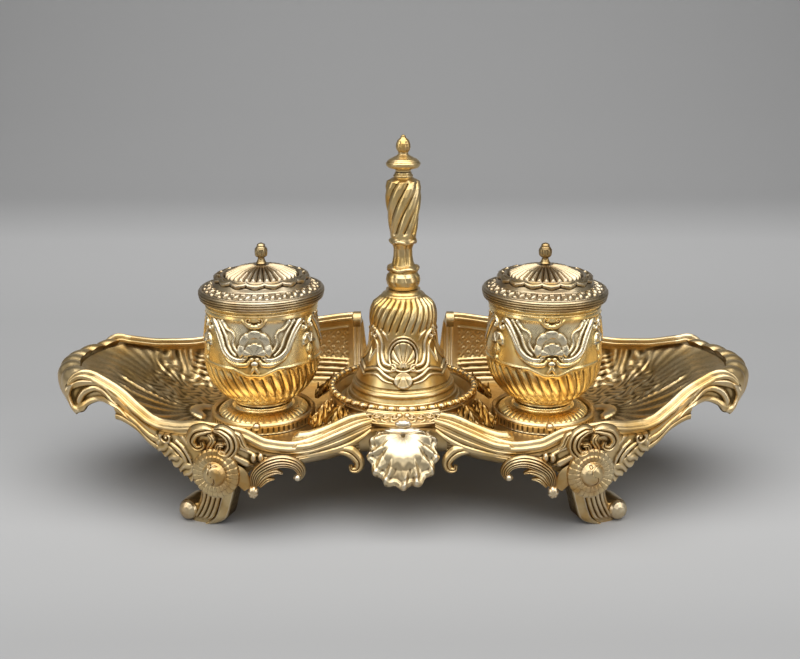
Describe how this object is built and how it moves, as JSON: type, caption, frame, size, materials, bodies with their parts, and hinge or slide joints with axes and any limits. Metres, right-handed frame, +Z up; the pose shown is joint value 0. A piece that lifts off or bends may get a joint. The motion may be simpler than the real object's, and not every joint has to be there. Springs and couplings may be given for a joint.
{
  "type": "inkstand",
  "caption": "Boat-shaped gilt tray on scroll feet with shell mounts, carrying lidded ink pots in wells either side of a table bell on a raised stand.",
  "frame": {"origin": "on the table below the bell's axis, the middle of the tray's plan", "axes": "+X to the right along the tray, +Y to the back wall, +Z up"},
  "size_m": [0.344, 0.139, 0.1745],
  "materials": {
    "tray_gilding": "cast and chased silver, pale worn gilding",
    "foot_gilding": "cast and chased silver, gilding darkened in the recesses",
    "shell_gilding": "cast and chased silver, gilding worn pale on the lobes",
    "stand_leaf_gilding": "cast and chased silver, rich yellow gilding",
    "bead_gilding": "burnished bead and reel",
    "pot_gilding": "raised and chased silver, rich yellow gilding",
    "lid_gilding": "cast and chased silver, gilding worn towards silver",
    "bell_gilding": "cast and chased silver, burnished gilding",
    "liner_silver": "plain raised silver",
    "fixing_silver": "plain turned silver"
  },
  "bodies": {
    "tray": {"tray": "tray_gilding", "rim_front_left": "tray_gilding", "border_front_left": "tray_gilding", "foot_front_left": "foot_gilding", "rosette_front_left": "foot_gilding", "foot_leaf_front_left": "foot_gilding", "stand_leaf_front_left": "stand_leaf_gilding", "rim_front_right": "tray_gilding", "border_front_right": "tray_gilding", "foot_front_right": "foot_gilding", "rosette_front_right": "foot_gilding", "foot_leaf_front_right": "foot_gilding", "stand_leaf_front_right": "stand_leaf_gilding", "rim_back_left": "tray_gilding", "border_back_left": "tray_gilding", "foot_back_left": "foot_gilding", "rosette_back_left": "foot_gilding", "foot_leaf_back_left": "foot_gilding", "stand_leaf_back_left": "stand_leaf_gilding", "rim_back_right": "tray_gilding", "border_back_right": "tray_gilding", "foot_back_right": "foot_gilding", "rosette_back_right": "foot_gilding", "foot_leaf_back_right": "foot_gilding", "stand_leaf_back_right": "stand_leaf_gilding", "end_scroll_left": "tray_gilding", "back_scroll_left": "tray_gilding", "pot_well_left": "tray_gilding", "end_scroll_right": "tray_gilding", "back_scroll_right": "tray_gilding", "pot_well_right": "tray_gilding", "shell_front": "shell_gilding", "wave_band_front": "tray_gilding", "shell_back": "shell_gilding", "wave_band_back": "tray_gilding", "bell_stand": "tray_gilding", "bead_ring": "bead_gilding"},
    "pot_left": {"pot_foot_left": "pot_gilding", "pot_body_left": "pot_gilding"},
    "liner_left": {"liner_left": "liner_silver"},
    "lid_left": {"lid_left": "lid_gilding", "lid_knop_left": "lid_gilding", "lid_nut_left": "fixing_silver"},
    "pot_right": {"pot_foot_right": "pot_gilding", "pot_body_right": "pot_gilding"},
    "liner_right": {"liner_right": "liner_silver"},
    "lid_right": {"lid_right": "lid_gilding", "lid_knop_right": "lid_gilding", "lid_nut_right": "fixing_silver"},
    "bell": {"bell_dome": "bell_gilding", "bell_handle": "bell_gilding", "bell_finial": "bell_gilding", "clapper_hanger": "fixing_silver", "clapper_pin": "fixing_silver"},
    "clapper": {"clapper": "fixing_silver"}
  },
  "joints": [
    {"name": "pot_left_lift", "type": "slide", "parent": "tray", "child": "pot_left", "axis": [0, 0, 1], "range_m": [0, 0.08]},
    {"name": "liner_left_lift", "type": "slide", "parent": "pot_left", "child": "liner_left", "axis": [0, 0, 1], "range_m": [0, 0.055]},
    {"name": "lid_left_lift", "type": "slide", "parent": "liner_left", "child": "lid_left", "axis": [0, 0, 1], "range_m": [0, 0.04]},
    {"name": "pot_right_lift", "type": "slide", "parent": "tray", "child": "pot_right", "axis": [0, 0, 1], "range_m": [0, 0.08]},
    {"name": "liner_right_lift", "type": "slide", "parent": "pot_right", "child": "liner_right", "axis": [0, 0, 1], "range_m": [0, 0.055]},
    {"name": "lid_right_lift", "type": "slide", "parent": "liner_right", "child": "lid_right", "axis": [0, 0, 1], "range_m": [0, 0.04]},
    {"name": "bell_lift", "type": "slide", "parent": "tray", "child": "bell", "axis": [0, 0, 1], "range_m": [0, 0.06]},
    {"name": "clapper_swing", "type": "hinge", "parent": "bell", "child": "clapper", "pos_m": [0, 0, 0.08749], "axis": [0, 1, 0], "range_deg": [-24, 24]}
  ]
}
